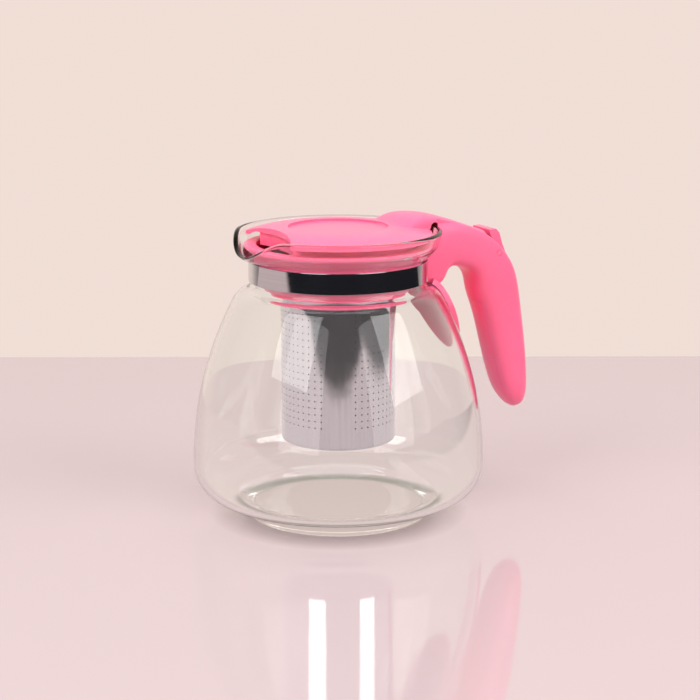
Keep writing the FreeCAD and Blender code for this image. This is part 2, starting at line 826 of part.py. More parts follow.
def strainer_collar():
    """Funnel that hangs in the neck by its flange."""
    section = cup_section(bead_radius, glass_wall / 2 + loose_gap)
    inner_side = section[len(section) // 2:]
    seat = []
    for above, below in zip(inner_side, inner_side[1:]):
        if above.x > collar_radius >= below.x:
            share = (above.x - collar_radius) / (above.x - below.x)
            seat.append(above + (below - above) * share)
        if collar_outer < below.x < collar_radius:
            seat.append(below)
    mouth = plug_radius + loose_gap * 4
    outside = [point(collar_radius, collar_top)] + seat
    outside += [point(collar_outer, seat[-1].z), point(collar_outer, funnel_top)]
    outside += [point(funnel_radius, funnel_bottom)]
    inside = [
        point(ledge + loose_gap, funnel_bottom),
        point(ledge + loose_gap, funnel_bottom + collar_wall),
        point(collar_bore, funnel_top + collar_wall / 2),
        point(collar_bore, neck_top),
        point(mouth, plug_bottom - loose_gap),
        point(mouth, collar_top),
        outside[0],
    ]
    return turned(polyline(outside + inside))


def basket_ring():
    """Ring at the funnel's lower end that carries the basket's flange."""
    height = funnel_bottom - ring_bottom
    ring = Part.makeCylinder(funnel_radius, height, point(0, ring_bottom))
    ring = ring.cut(Part.makeCylinder(ring_bore, height, point(0, ring_bottom)))
    seat = Part.makeCylinder(ledge + fit_gap, basket_wall, point(0, funnel_bottom - basket_wall))
    return ring.cut(seat)


def basket_sleeve():
    """Rolled steel sleeve with a flange at its top."""
    top = funnel_bottom
    return turned(
        polyline(
            [
                point(basket_radius, basket_bottom + basket_wall * 2),
                point(basket_radius, top - basket_wall),
                point(ledge, top - basket_wall),
                point(ledge, top),
                point(basket_radius - basket_wall, top),
                point(basket_radius - basket_wall, basket_bottom + basket_wall * 2),
                point(basket_radius, basket_bottom + basket_wall * 2),
            ]
        )
    )


def basket_floor():
    """Pressed floor of the basket with a rolled foot and a skirt inside the sleeve."""
    inner = basket_radius - basket_wall - press_gap
    foot = basket_bottom + basket_wall * 2 - press_gap
    skirt_top = basket_bottom + basket_floor_skirt
    bend = basket_wall * 2
    return turned(
        [arc(point(basket_radius - bend, basket_bottom + bend), bend - press_gap, -90, 0)]
        + polyline(
            [
                point(basket_radius - press_gap, basket_bottom + bend),
                point(basket_radius - press_gap, foot),
                point(inner, foot),
                point(inner, skirt_top),
                point(inner - basket_wall, skirt_top),
                point(inner - basket_wall, basket_bottom + basket_wall + press_gap),
                point(0, basket_bottom + basket_wall + press_gap),
                point(0, basket_bottom + press_gap),
                point(basket_radius - bend, basket_bottom + press_gap),
            ]
        )
    )


pieces = {
    "glass_jug": glass_jug,
    "neck_band": neck_band,
    "band_screw": band_screw,
    "band_nut": band_nut,
    "handle_shell": handle_shell,
    "grip_cover": grip_cover,
    "thumb_lever": thumb_lever,
    "lever_pin": lever_pin,
    "lever_spring": lever_spring,
    "lid_cap": lid_cap,
    "lid_plug": lid_plug,
    "lid_pin": lid_pin,
    "strainer_collar": strainer_collar,
    "basket_ring": basket_ring,
    "basket_sleeve": basket_sleeve,
    "basket_floor": basket_floor,
}

os.makedirs("parts", exist_ok=True)
for name, build in pieces.items():
    shape = build()
    shape.exportStep("parts/" + name + ".step")
    print(name, "solids", len(shape.Solids), "valid", shape.isValid(), "volume", round(shape.Volume, 1))
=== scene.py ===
"""Glass teapot with a steel neck band, a pink handle and lid, and a hanging steel strainer."""

import logging
import math
from collections.abc import Callable
from dataclasses import dataclass, field
from enum import Enum

import bmesh
import bpy
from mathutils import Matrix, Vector

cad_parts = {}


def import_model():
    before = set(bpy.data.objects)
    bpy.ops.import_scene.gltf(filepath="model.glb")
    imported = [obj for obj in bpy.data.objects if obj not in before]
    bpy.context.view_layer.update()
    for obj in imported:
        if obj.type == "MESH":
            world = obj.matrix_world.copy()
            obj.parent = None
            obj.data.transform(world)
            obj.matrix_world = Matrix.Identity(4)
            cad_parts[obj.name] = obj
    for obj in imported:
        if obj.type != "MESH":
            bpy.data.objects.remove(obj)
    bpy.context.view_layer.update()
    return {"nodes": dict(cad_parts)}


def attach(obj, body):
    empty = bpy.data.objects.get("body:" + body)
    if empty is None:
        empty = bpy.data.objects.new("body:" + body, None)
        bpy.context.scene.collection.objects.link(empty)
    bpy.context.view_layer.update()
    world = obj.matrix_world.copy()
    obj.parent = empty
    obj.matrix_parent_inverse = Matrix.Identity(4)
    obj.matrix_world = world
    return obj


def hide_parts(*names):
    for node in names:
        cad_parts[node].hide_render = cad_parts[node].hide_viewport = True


LOG = logging.getLogger("teapot")
MM = 0.001
Pair = tuple[float, float]
Colour = tuple[float, float, float]
Spot = tuple[float, float, float]
NOISE_LOW = 0.3
NOISE_HIGH = 0.7
NOISE_ROUGHNESS = 0.55
MIX_FACTOR, MIX_FIRST, MIX_SECOND, MIX_RESULT = 0, 6, 7, 2
JOIN_DISTANCE = 2e-6
NEEDLE_WIDTH = 2e-5
ON_AXIS = 1e-6
CORNER_SHARE = 0.28
HOLD_SHARE = 1.6
METAL_CREASE_DEG = 35.0
TURNED_CREASE_DEG = 60.0


class Body(Enum):
    """Bodies of the part that pieces ride on."""

    JUG = "jug"
    LID = "lid"
    LEVER = "lever"
    STRAINER = "strainer"


class Slot(Enum):
    """Material slots of the part."""

    GLASS = "clear_glass"
    BAND = "polished_steel"
    SHEET = "perforated_steel"
    FASTENER = "steel_fastener"
    SPRING = "spring_wire"
    PLASTIC = "pink_plastic"
    PIN = "pink_pin"


class NodeBoard:
    """A node tree with short calls for adding and linking nodes."""

    def __init__(self, tree: bpy.types.NodeTree) -> None:
        """Work on a tree.

        Args:
            tree: The tree.
        """
        self.tree = tree

    def add(self, kind: str, **values: object) -> bpy.types.Node:
        """Add a node, set its properties, and set or link its inputs.

        Args:
            kind: The node's type.
            **values: Properties by name; inputs by name with underscores for spaces, or by i and a number.

        Returns:
            The new node.
        """
        node = self.tree.nodes.new(kind)
        for key, value in values.items():
            if hasattr(node, key):
                setattr(node, key, value)
                continue
            numbered = key[0] == "i" and key[1:].isdigit()
            socket = node.inputs[int(key[1:]) if numbered else key.replace("_", " ")]
            if isinstance(value, bpy.types.NodeSocket):
                self.link(value, socket)
            else:
                socket.default_value = value
        return node

    def link(self, source: bpy.types.NodeSocket, target: bpy.types.NodeSocket) -> None:
        """Join two sockets."""
        self.tree.links.new(source, target)

    def math(self, operation: str, first: object, second: object = 0.0) -> bpy.types.NodeSocket:
        """A sum on two values.

        Args:
            operation: The kind of sum.
            first: Socket or number.
            second: Socket or number.

        Returns:
            The result's socket.
        """
        return self.add("ShaderNodeMath", operation=operation, i0=first, i1=second).outputs[0]

    def ramp(self, value: bpy.types.NodeSocket, *stops: tuple[float, Colour]) -> bpy.types.NodeSocket:
        """A colour that runs through stops, by a value.

        Args:
            value: Where on the run.
            *stops: Place and colour of each stop, from low to high.

        Returns:
            The colour socket.
        """
        node = self.add("ShaderNodeValToRGB", Fac=value)
        marks = node.color_ramp.elements
        marks[0].position, marks[1].position = stops[0][0], stops[-1][0]
        marks[0].color, marks[1].color = (*stops[0][1], 1.0), (*stops[-1][1], 1.0)
        for where, colour in stops[1:-1]:
            marks.new(where).color = (*colour, 1.0)
        return node.outputs["Color"]

    def blended(
        self, by: bpy.types.NodeSocket, first: bpy.types.NodeSocket, second: bpy.types.NodeSocket
    ) -> bpy.types.NodeSocket:
        """A shader between two.

        Args:
            by: Share of the second shader.
            first: Shader at nought.
            second: Shader at one.

        Returns:
            The blended shader's socket.
        """
        return self.add("ShaderNodeMixShader", Fac=by, i1=first, i2=second).outputs[0]


class NodeSheet(NodeBoard):
    """A material's node tree, with the patterns that the finishes share."""

    def __init__(self, name: str) -> None:
        """Start an empty material.

        Args:
            name: The material's name.
        """
        self.material = bpy.data.materials.new(name)
        self.material.use_nodes = True
        super().__init__(self.material.node_tree)
        self.shader = self.tree.nodes["Principled BSDF"]

    def show(self, surface: bpy.types.NodeSocket) -> None:
        """Let a shader be the material's surface."""
        self.link(surface, self.tree.nodes["Material Output"].inputs["Surface"])

    def set(self, **values: float | Colour) -> None:
        """Set the shader's own inputs, by name with underscores for spaces."""
        for key, value in values.items():
            self.shader.inputs[key.replace("_", " ")].default_value = value

    def noise(
        self, scale: float, stretch: Colour = (1.0, 1.0, 1.0), detail: float = 3.0
    ) -> bpy.types.NodeSocket:
        """A noise value on object coordinates.

        Args:
            scale: Waves to the metre.
            stretch: How much the pattern is squeezed along each axis.
            detail: Finer octaves.

        Returns:
            The noise's value socket.
        """
        place = self.add("ShaderNodeTexCoord").outputs["Object"]
        mapping = self.add("ShaderNodeMapping", Vector=place, Scale=stretch)
        texture = self.add(
            "ShaderNodeTexNoise",
            Vector=mapping.outputs["Vector"],
            Scale=scale,
            Detail=detail,
            Roughness=NOISE_ROUGHNESS,
        )
        return texture.outputs["Fac"]

    def ranged(self, value: bpy.types.NodeSocket, low: float, high: float) -> bpy.types.NodeSocket:
        """Spread a noise value between two limits.

        Args:
            value: The noise.
            low: Result where the noise is low.
            high: Result where the noise is high.

        Returns:
            The ranged value socket.
        """
        spread = self.add(
            "ShaderNodeMapRange",
            Value=value,
            From_Min=NOISE_LOW,
            From_Max=NOISE_HIGH,
            To_Min=low,
            To_Max=high,
        )
        return spread.outputs["Result"]

    def mixed(self, value: bpy.types.NodeSocket, first: Colour, second: Colour) -> bpy.types.NodeSocket:
        """A colour between two, by a noise.

        Args:
            value: The noise.
            first: Colour where the noise is low.
            second: Colour where the noise is high.

        Returns:
            The colour socket.
        """
        return self.ramp(value, (NOISE_LOW, first), (NOISE_HIGH, second))

    def bump(self, height: bpy.types.NodeSocket, strength: float, depth: float) -> None:
        """Rough the surface with a height.

        Args:
            height: Height pattern.
            strength: Share of the effect.
            depth: Depth of the pattern in metres.
        """
        node = self.add("ShaderNodeBump", Strength=strength, Distance=depth, Height=height)
        self.link(node.outputs["Normal"], self.shader.inputs["Normal"])


@dataclass(frozen=True)
class ClearGlass:
    """Clear pressed glass with a trace of green and slow waves in the surface."""

    tint: Colour = (0.985, 1.0, 0.992)
    deeper: Colour = (0.975, 0.997, 0.985)
    ior: float = 1.47
    drift: float = 9.0
    wave: float = 28.0
    wave_strength: float = 0.05
    wave_depth: float = 0.0006

    def material(self, name: str) -> bpy.types.Material:
        """Build the glass material.

        Args:
            name: The material's name.

        Returns:
            The material.
        """
        sheet = NodeSheet(name)
        sheet.set(Roughness=0.0, IOR=self.ior, Transmission_Weight=1.0)
        tint = sheet.mixed(sheet.noise(self.drift), self.tint, self.deeper)
        sheet.link(tint, sheet.shader.inputs["Base Color"])
        sheet.bump(sheet.noise(self.wave, detail=1.0), self.wave_strength, self.wave_depth)
        return sheet.material


@dataclass(frozen=True)
class MouldedPlastic:
    """Satin moulded plastic with a slow drift of shade and gloss."""

    colour: Colour
    shade: Colour
    rough: Pair = (0.29, 0.33)
    ior: float = 1.49
    glow_weight: float = 0.3
    glow_radius: Colour = (1.0, 0.12, 0.2)
    glow_depth: float = 0.0025
    shade_drift: float = 9.0
    gloss_drift: float = 14.0

    def material(self, name: str) -> bpy.types.Material:
        """Build the plastic material.

        Args:
            name: The material's name.

        Returns:
            The material.
        """
        sheet = NodeSheet(name)
        sheet.set(
            IOR=self.ior,
            Subsurface_Weight=self.glow_weight,
            Subsurface_Radius=self.glow_radius,
            Subsurface_Scale=self.glow_depth,
        )
        shade = sheet.mixed(sheet.noise(self.shade_drift, detail=0.0), self.colour, self.shade)
        sheet.link(shade, sheet.shader.inputs["Base Color"])
        gloss = sheet.ranged(sheet.noise(self.gloss_drift, detail=0.0), *self.rough)
        sheet.link(gloss, sheet.shader.inputs["Roughness"])
        return sheet.material


@dataclass(frozen=True)
class BrightSteel:
    """Bright steel with fine drawn lines and slow waves that bend what it mirrors."""

    colour: Colour
    shade: Colour
    rough: Pair
    stretch: Colour
    wave: float
    wave_depth: float
    wave_strength: float = 0.35
    lines: float = 240.0
    line_detail: float = 4.0

    def material(self, name: str) -> bpy.types.Material:
        """Build the steel material.

        Args:
            name: The material's name.

        Returns:
            The material.
        """
        sheet = NodeSheet(name)
        sheet.set(Metallic=1.0)
        lines = sheet.noise(self.lines, self.stretch, self.line_detail)
        sheet.link(sheet.mixed(lines, self.colour, self.shade), sheet.shader.inputs["Base Color"])
        sheet.link(sheet.ranged(lines, *self.rough), sheet.shader.inputs["Roughness"])
        sheet.bump(sheet.noise(self.wave, detail=2.0), self.wave_strength, self.wave_depth)
        return sheet.material


@dataclass(frozen=True)
class PiercedHole:
    """Painted shade for the inside of a punched hole, near-black and a little lighter at random."""

    # Near-black painted shade on the plugs that stand for the holes; the second tone is a little lighter painted
    # shade, at random.
    colour: Colour = (0.012, 0.012, 0.014)
    lighter_painted_shade: Colour = (0.035, 0.034, 0.036)
    rough: float = 0.6
    grain: float = 900.0

    def material(self, name: str) -> bpy.types.Material:
        """Build the dark material.

        Args:
            name: The material's name.

        Returns:
            The material.
        """
        sheet = NodeSheet(name)
        sheet.set(Roughness=self.rough)
        # The dark painted shade, varied at random by fine noise.
        shade = sheet.mixed(sheet.noise(self.grain), self.colour, self.lighter_painted_shade)
        sheet.link(shade, sheet.shader.inputs["Base Color"])
        return sheet.material


@dataclass(frozen=True)
class TableTop:
    """Pale lacquered table that mirrors what stands on it, with a painted soft shadow round the jug's foot.

    Mirrors and glass see a glowing painted reflection in its place, in the table's own tones: painted shade under
    the foot with a darker painted contact-shadow ring, and a painted dark room past its edges.
    """

    right_axis: Colour
    away_axis: Colour
    colour: Colour = (0.50, 0.40, 0.415)
    shade: Colour = (0.488, 0.39, 0.405)
    # Glow colours that glossy rays see in place of the table: painted reflection of the lit table, painted shade
    # under the glass foot and a painted contact-shadow ring.
    painted_reflection: Colour = (0.76, 0.605, 0.595)
    painted_under_glass_shade: Colour = (0.64, 0.51, 0.485)
    painted_contact_shadow: Colour = (0.36, 0.33, 0.29)
    # Painted soft shadow on the table round the foot, seen directly.
    painted_soft_shadow: Colour = (0.50, 0.50, 0.48)
    shadow_reach: float = 0.065
    painted_shadow_start: float = 0.72
    base_end: float = 0.66
    contact_shadow_start: float = 0.72
    contact_shadow_end: float = 0.76
    open_start: float = 0.84
    rough: float = 0.05
    ior: float = 1.6
    drift: float = 3.0
    # Painted reflection of a dark room past the table's front and right edges.
    room: Colour = (0.018, 0.018, 0.022)
    front_edge: float = -0.30
    right_edge: float = 0.34
    fade: float = 0.03

    def edge(self, sheet: NodeSheet, axis: Colour, near: float, far: float) -> bpy.types.NodeSocket:
        """Share of the table that lies on one side of an edge.

        Args:
            sheet: The material in work.
            axis: Direction across the edge.
            near: Where the share is nought.
            far: Where the share is one.

        Returns:
            The share's socket.
        """
        place = sheet.add("ShaderNodeTexCoord").outputs["Object"]
        along = sheet.add("ShaderNodeVectorMath", operation="DOT_PRODUCT", i0=place, i1=axis).outputs["Value"]
        return sheet.add("ShaderNodeMapRange", Value=along, From_Min=near, From_Max=far).outputs["Result"]

    def material(self, name: str) -> bpy.types.Material:
        """Build the table material.

        Args:
            name: The material's name.

        Returns:
            The material.
        """
        sheet = NodeSheet(name)
        sheet.set(Roughness=self.rough, IOR=self.ior)
        front = self.edge(sheet, self.away_axis, self.front_edge - self.fade, self.front_edge + self.fade)
        right = self.edge(sheet, self.right_axis, self.right_edge + self.fade, self.right_edge - self.fade)
        inside = sheet.math("MULTIPLY", front, right)
        place = sheet.add("ShaderNodeTexCoord").outputs["Object"]
        reach = sheet.add("ShaderNodeVectorMath", operation="LENGTH", i0=place).outputs["Value"]
        spread = sheet.add("ShaderNodeMapRange", Value=reach, From_Max=self.shadow_reach).outputs["Result"]
        # Painted soft shadow: the lacquer is darker near the jug's axis and fades out by shadow_reach.
        painted_shadow_ramp = sheet.ramp(spread, (self.painted_shadow_start, self.painted_soft_shadow), (1.0, (1.0, 1.0, 1.0)))
        tone = sheet.add("ShaderNodeMix", data_type="RGBA", blend_type="MULTIPLY")
        tone.inputs[MIX_FACTOR].default_value = 1.0
        lacquer = sheet.mixed(sheet.noise(self.drift), self.colour, self.shade)
        sheet.link(lacquer, tone.inputs[MIX_FIRST])
        sheet.link(painted_shadow_ramp, tone.inputs[MIX_SECOND])
        sheet.link(tone.outputs[MIX_RESULT], sheet.shader.inputs["Base Color"])
        # Painted reflection and painted shade for glossy rays: shade under the foot, a darker contact-shadow
        # ring, then the lit table.
        foot = sheet.ramp(
            spread,
            (0.0, self.painted_under_glass_shade),
            (self.base_end, self.painted_under_glass_shade),
            (self.contact_shadow_start, self.painted_contact_shadow),
            (self.contact_shadow_end, self.painted_contact_shadow),
            (self.open_start, self.painted_reflection),
            (1.0, self.painted_reflection),
        )
        blend = sheet.add("ShaderNodeMix", data_type="RGBA")
        sheet.link(inside, blend.inputs[MIX_FACTOR])
        blend.inputs[MIX_FIRST].default_value = (*self.room, 1.0)
        sheet.link(foot, blend.inputs[MIX_SECOND])
        # The painted reflection glows and is shown only to glossy rays, with the painted dark room past the
        # edges.
        seen = sheet.add("ShaderNodeEmission", Color=blend.outputs[MIX_RESULT]).outputs[0]
        painted_reflection = sheet.add("ShaderNodeLightPath").outputs["Is Glossy Ray"]
        sheet.show(sheet.blended(painted_reflection, sheet.shader.outputs[0], seen))
        return sheet.material


@dataclass
class Finishes:
    """All the materials of the object, made once."""

    glass: bpy.types.Material = field(init=False)
    pink: bpy.types.Material = field(init=False)
    pin: bpy.types.Material = field(init=False)
    band: bpy.types.Material = field(init=False)
    sheet: bpy.types.Material = field(init=False)
    plain: bpy.types.Material = field(init=False)
    painted_hole_shade: bpy.types.Material = field(init=False)

    def __post_init__(self) -> None:
        """Make each material."""
        self.glass = ClearGlass().material("clear_glass")
        self.pink = MouldedPlastic((1.0, 0.155, 0.30), (0.995, 0.148, 0.285)).material("pink_plastic")
        self.pin = MouldedPlastic((1.0, 0.185, 0.33), (0.99, 0.175, 0.31)).material("pink_pin")
        self.band = BrightSteel(
            colour=(0.64, 0.63, 0.65),
            shade=(0.60, 0.60, 0.62),
            rough=(0.04, 0.08),
            stretch=(0.05, 0.05, 6.0),
            wave=60.0,
            wave_depth=0.00003,
        ).material("polished_steel")
        self.sheet = BrightSteel(
            colour=(0.76, 0.77, 0.83),
            shade=(0.70, 0.71, 0.77),
            rough=(0.06, 0.11),
            stretch=(4.0, 4.0, 0.06),
            wave=38.0,
            wave_depth=0.00035,
        ).material("perforated_steel")
        self.plain = BrightSteel(
            colour=(0.58, 0.58, 0.6),
            shade=(0.5, 0.5, 0.53),
            rough=(0.25, 0.4),
            stretch=(1.0, 1.0, 1.0),
            wave=300.0,
            wave_depth=0.00005,
        ).material("plain_steel")
        # Near-black painted shade for the basket's holes.
        self.painted_hole_shade = PiercedHole().material("pierced_hole")


def link_piece(mesh: bpy.types.Mesh, name: str) -> bpy.types.Object:
    """Put a mesh in the scene as a piece at the origin.

    Args:
        mesh: The mesh, with its place in it.
        name: The piece's name.

    Returns:
        The new object.
    """
    piece = bpy.data.objects.new(name, mesh)
    bpy.context.scene.collection.objects.link(piece)
    return piece


def dress(
    piece: bpy.types.Object, material: bpy.types.Material, body: Body, slot: Slot, *nodes: str
) -> None:
    """Give a piece its finish and body, and let it stand for nodes of the part.

    Args:
        piece: The piece.
        material: Its finish.
        body: The body it rides on.
        slot: Not used.
        *nodes: Nodes of the part it stands for.
    """
    piece.data.materials.clear()
    piece.data.materials.append(material)
    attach(piece, body.value)
    if nodes:
        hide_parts(*nodes)
    LOG.info("%s: %d faces on %s", piece.name, len(piece.data.polygons), body.value)


def smooth(mesh: bpy.types.Mesh, crease_deg: float) -> None:
    """Shade a mesh smooth, sharp over an angle.

    Args:
        mesh: The mesh.
        crease_deg: Angle between faces above which the edge stays sharp.
    """
    mesh.shade_smooth()
    mesh.set_sharp_from_angle(angle=math.radians(crease_deg))


def merged_copy(source: bpy.types.Object, name: str, crease_deg: float) -> bpy.types.Object:
    """A smooth copy of a node of the part, with its loose triangles joined.

    Args:
        source: The node's object.
        name: Name of the copy.
        crease_deg: Angle above which an edge stays sharp.

    Returns:
        The copy.
    """
    work = bmesh.new()
    work.from_mesh(source.data)
    bmesh.ops.remove_doubles(work, verts=work.verts, dist=JOIN_DISTANCE)
    bmesh.ops.dissolve_degenerate(work, edges=work.edges, dist=NEEDLE_WIDTH)
    work.verts.index_update()
    corners = [tuple(vert.co) for vert in work.verts]
    faces = [[vert.index for vert in loop.verts] for loop in work.faces]
    work.free()
    mesh = bpy.data.meshes.new(name)
    mesh.from_pydata(corners, [], faces)
    smooth(mesh, crease_deg)
    return settled(link_piece(mesh, name))


def settled(piece: bpy.types.Object) -> bpy.types.Object:
    """Weigh a piece's normals by face area, so that its needle triangles don't show.

    Args:
        piece: The piece.

    Returns:
        The same piece with the normals kept in its mesh.
    """
    weights = piece.modifiers.new("weights", "WEIGHTED_NORMAL")
    weights.mode = "FACE_AREA"
    weights.keep_sharp = True
    return kept(piece)


def kept(piece: bpy.types.Object) -> bpy.types.Object:
    """Keep what a piece's modifier makes as a plain mesh.

    Args:
        piece: The piece.

    Returns:
        The same piece without the modifier.
    """
    graph = bpy.context.evaluated_depsgraph_get()
    mesh = bpy.data.meshes.new_from_object(piece.evaluated_get(graph))
    piece.modifiers.clear()
    piece.data = mesh
    return piece


def arc_points(centre: Pair, radius: float, start_deg: float, end_deg: float, steps: int) -> list[Pair]:
    """Points on an arc of a side view.

    Args:
        centre: Centre as distance from the axis and height.
        radius: Radius of the arc.
        start_deg: First angle.
        end_deg: Last angle.
        steps: Number of chords.

    Returns:
        The points, both ends included.
    """
    points = []
    for step in range(steps + 1):
        angle = math.radians(start_deg + (end_deg - start_deg) * step / steps)
        points.append((centre[0] + radius * math.cos(angle), centre[1] + radius * math.sin(angle)))
    return points


def rounded(corners: list[Pair], radius: float, steps: int = 4) -> list[Pair]:
    """A closed outline with its corners rounded, and a point held just past each rounding.

    Args:
        corners: Corners in order.
        radius: Rounding, less where an edge is short.
        steps: Chords in each rounded corner.

    Returns:
        The rounded outline.
    """
    result = []
    count = len(corners)
    for index, corner in enumerate(corners):
        here = Vector(corner)
        back = Vector(corners[index - 1]) - here
        ahead = Vector(corners[(index + 1) % count]) - here
        reach = min(radius, back.length * CORNER_SHARE, ahead.length * CORNER_SHARE)
        start = here + back.normalized() * reach
        end = here + ahead.normalized() * reach
        result.append(tuple(here + back.normalized() * reach * HOLD_SHARE))
        for step in range(steps + 1):
            share = step / steps
            point = start * (1 - share) ** 2 + here * (2 * share * (1 - share)) + end * share**2
            result.append((point.x, point.y))
        result.append(tuple(here + ahead.normalized() * reach * HOLD_SHARE))
    return result


def turned(
    name: str,
    outline: list[Pair],
    segments: int,
    closed: bool,
    shape: Callable[[float, float, float], Pair] | None = None,
    crease_deg: float = TURNED_CREASE_DEG,
) -> bpy.types.Object:
    """Turn an outline about the upright axis.

    Args:
        name: Name of the piece.
        outline: Distances from the axis and heights in millimetres.
        segments: Divisions round the axis.
        closed: Whether the outline's last point joins its first.
        shape: Optional call that moves a point, given distance, height and angle.
        crease_deg: Angle above which an edge stays sharp.

    Returns:
        The turned piece.
    """
    work = bmesh.new()
    rings = []
    for distance, height in outline:
        if distance < ON_AXIS:
            rings.append([work.verts.new((0.0, 0.0, height * MM))])
            continue
        ring = []
        for segment in range(segments):
            angle = math.tau * segment / segments
            out, up = (distance, height) if shape is None else shape(distance, height, angle)
            ring.append(work.verts.new((out * math.cos(angle) * MM, out * math.sin(angle) * MM, up * MM)))
        rings.append(ring)
    pairs = list(zip(rings, rings[1:]))
    if closed:
        pairs.append((rings[-1], rings[0]))
    for low, high in pairs:
        for segment in range(segments):
            after = (segment + 1) % segments
            loop = [low[segment % len(low)], low[after % len(low)]]
            loop += [high[after % len(high)], high[segment % len(high)]]
            unique = list(dict.fromkeys(loop))
            if len(unique) > 2:
                work.faces.new(unique)
    bmesh.ops.recalc_face_normals(work, faces=work.faces)
    mesh = bpy.data.meshes.new(name)
    work.to_mesh(mesh)
    work.free()
    smooth(mesh, crease_deg)
    return link_piece(mesh, name)


@dataclass
class GlassJug:
    """The jug: foot, belly, shoulder, neck and flared cup with a pinched lip. Millimetres."""

    belly_radius: float = 72.3
    belly_height: float = 26.2
    wall_arc_radius: float = 175.95
    corner_radius: float = 17.0
    underside_slope: float = 14.0
    foot_top_radius: float = 50.5
    foot_radius: float = 45.5
    foot_round: float = 2.0
    wall: float = 2.4
    floor_thickness: float = 3.6
    floor_radius: float = 42.0
    shoulder_start: float = 109.0
    shoulder_round: float = 11.0
    neck_fillet: float = 3.0
    neck_radius: float = 43.4
    neck_top: float = 128.4
    rim_radius: float = 49.6
    rim_height: float = 141.3
    bead_radius: float = 1.25
    lip_half_angle: float = 36.0
    lip_drop: float = 9.0
    lip_reach: float = 0.8
    cup_foot: Pair = (1.7, 2.5)
    cup_waist: Pair = (2.4, 6.9)
    cup_flare: Pair = (1.1, 3.8)
    cup_leave: Pair = (0.0, 2.6)
    cup_arrive: Pair = (1.0, 3.7)
    cup_chords: int = 6
    bead_start: float = -20.0
    bead_end: float = 190.0
    bead_chords: int = 14
    corner_chords: int = 18
    wall_chords: int = 30
    shoulder_chords: int = 10
    fillet_chords: int = 6
    foot_chords: int = 6
    crease_deg: float = 38.0
    segments: int = 288

    def wall_points(self, offset: float) -> list[Pair]:
        """Wall from the underside up to the neck.

        Args:
            offset: Distance moved outwards.

        Returns:
            Points from low to high.
        """
        corner = (self.belly_radius - self.corner_radius, self.belly_height)
        centre = (self.belly_radius - self.wall_arc_radius, self.belly_height)
        turn = math.degrees(math.asin((self.shoulder_start - self.belly_height) / self.wall_arc_radius))
        inner_arc = self.wall_arc_radius - self.shoulder_round
        shoulder = (
            centre[0] + inner_arc * math.cos(math.radians(turn)),
            centre[1] + inner_arc * math.sin(math.radians(turn)),
        )
        reach = self.shoulder_round + self.neck_fillet
        bend = math.degrees(math.acos((self.neck_radius + self.neck_fillet - shoulder[0]) / reach))
        fillet = (
            shoulder[0] + reach * math.cos(math.radians(bend)),
            shoulder[1] + reach * math.sin(math.radians(bend)),
        )
        points = arc_points(corner, self.corner_radius + offset, self.underside_slope - 90, 0, self.corner_chords)
        points += arc_points(centre, self.wall_arc_radius + offset, 0, turn, self.wall_chords)[1:]
        points += arc_points(shoulder, self.shoulder_round + offset, turn, bend, self.shoulder_chords)[1:]
        points += arc_points(fillet, self.neck_fillet - offset, bend + 180, 180, self.fillet_chords)[1:]
        return points

    def cup_points(self) -> list[Pair]:
        """Outside of the flared cup, the rim bead and the inside of the cup."""
        middle = self.neck_radius - self.wall / 2
        rim = Vector((self.rim_radius, self.rim_height))
        knots = [
            Vector((middle, self.neck_top)),
            Vector((middle, self.neck_top)) + Vector(self.cup_foot),
            rim - Vector(self.cup_waist),
            rim - Vector(self.cup_flare),
            rim,
        ]
        slopes = [Vector(self.cup_leave)]
        slopes += [(after - before) * 0.5 for before, after in zip(knots, knots[2:])]
        slopes.append(Vector(self.cup_arrive))
        centre_line = []
        for index in range(len(knots) - 1):
            for step in range(self.cup_chords):
                centre_line.append(self.hermite(knots, slopes, index, step / self.cup_chords))
        half = self.wall / 2
        outside = []
        inside = []
        for place, along in centre_line:
            out = Vector((along.y, -along.x)).normalized() * half
            outside.append(tuple(place + out))
            inside.append(tuple(place - out))
        bead = arc_points(
            (self.rim_radius, self.rim_height), self.bead_radius, self.bead_start, self.bead_end, self.bead_chords
        )
        return outside[:-1] + bead + inside[-2::-1]

    @staticmethod
    def hermite(
        knots: list[Vector], slopes: list[Vector], index: int, share: float
    ) -> tuple[Vector, Vector]:
        """A point and direction on a smooth line.

        Args:
            knots: Points of the line.
            slopes: Directions at the points.
            index: Stretch of the line.
            share: Place on the stretch, from 0 to 1.

        Returns:
            The point and the direction there.
        """
        start, end = knots[index], knots[index + 1]
        leave, arrive = slopes[index], slopes[index + 1]
        t = share
        place = (
            start * (2 * t**3 - 3 * t**2 + 1)
            + leave * (t**3 - 2 * t**2 + t)
            + end * (3 * t**2 - 2 * t**3)
            + arrive * (t**3 - t**2)
        )
        along = (
            start * (6 * t**2 - 6 * t)
            + leave * (3 * t**2 - 4 * t + 1)
            + end * (6 * t - 6 * t**2)
            + arrive * (3 * t**2 - 2 * t)
        )
        return place, along

    def lipped(self, distance: float, height: float, angle: float) -> Pair:
        """Move a point of the cup where the lip is pinched.

        Args:
            distance: Distance from the axis.
            height: Height.
            angle: Angle round the axis in radians; the lip is at half a turn.

        Returns:
            The moved distance and height.
        """
        if height < self.neck_top:
            return distance, height
        away = abs(math.degrees(angle) - 180)
        pinch = 0.0
        if away < self.lip_half_angle:
            pinch = 0.5 + 0.5 * math.cos(math.pi * away / self.lip_half_angle)
        share = (height - self.neck_top) / (self.rim_height - self.neck_top)
        return distance + self.lip_reach * pinch * share, height - self.lip_drop * pinch * share

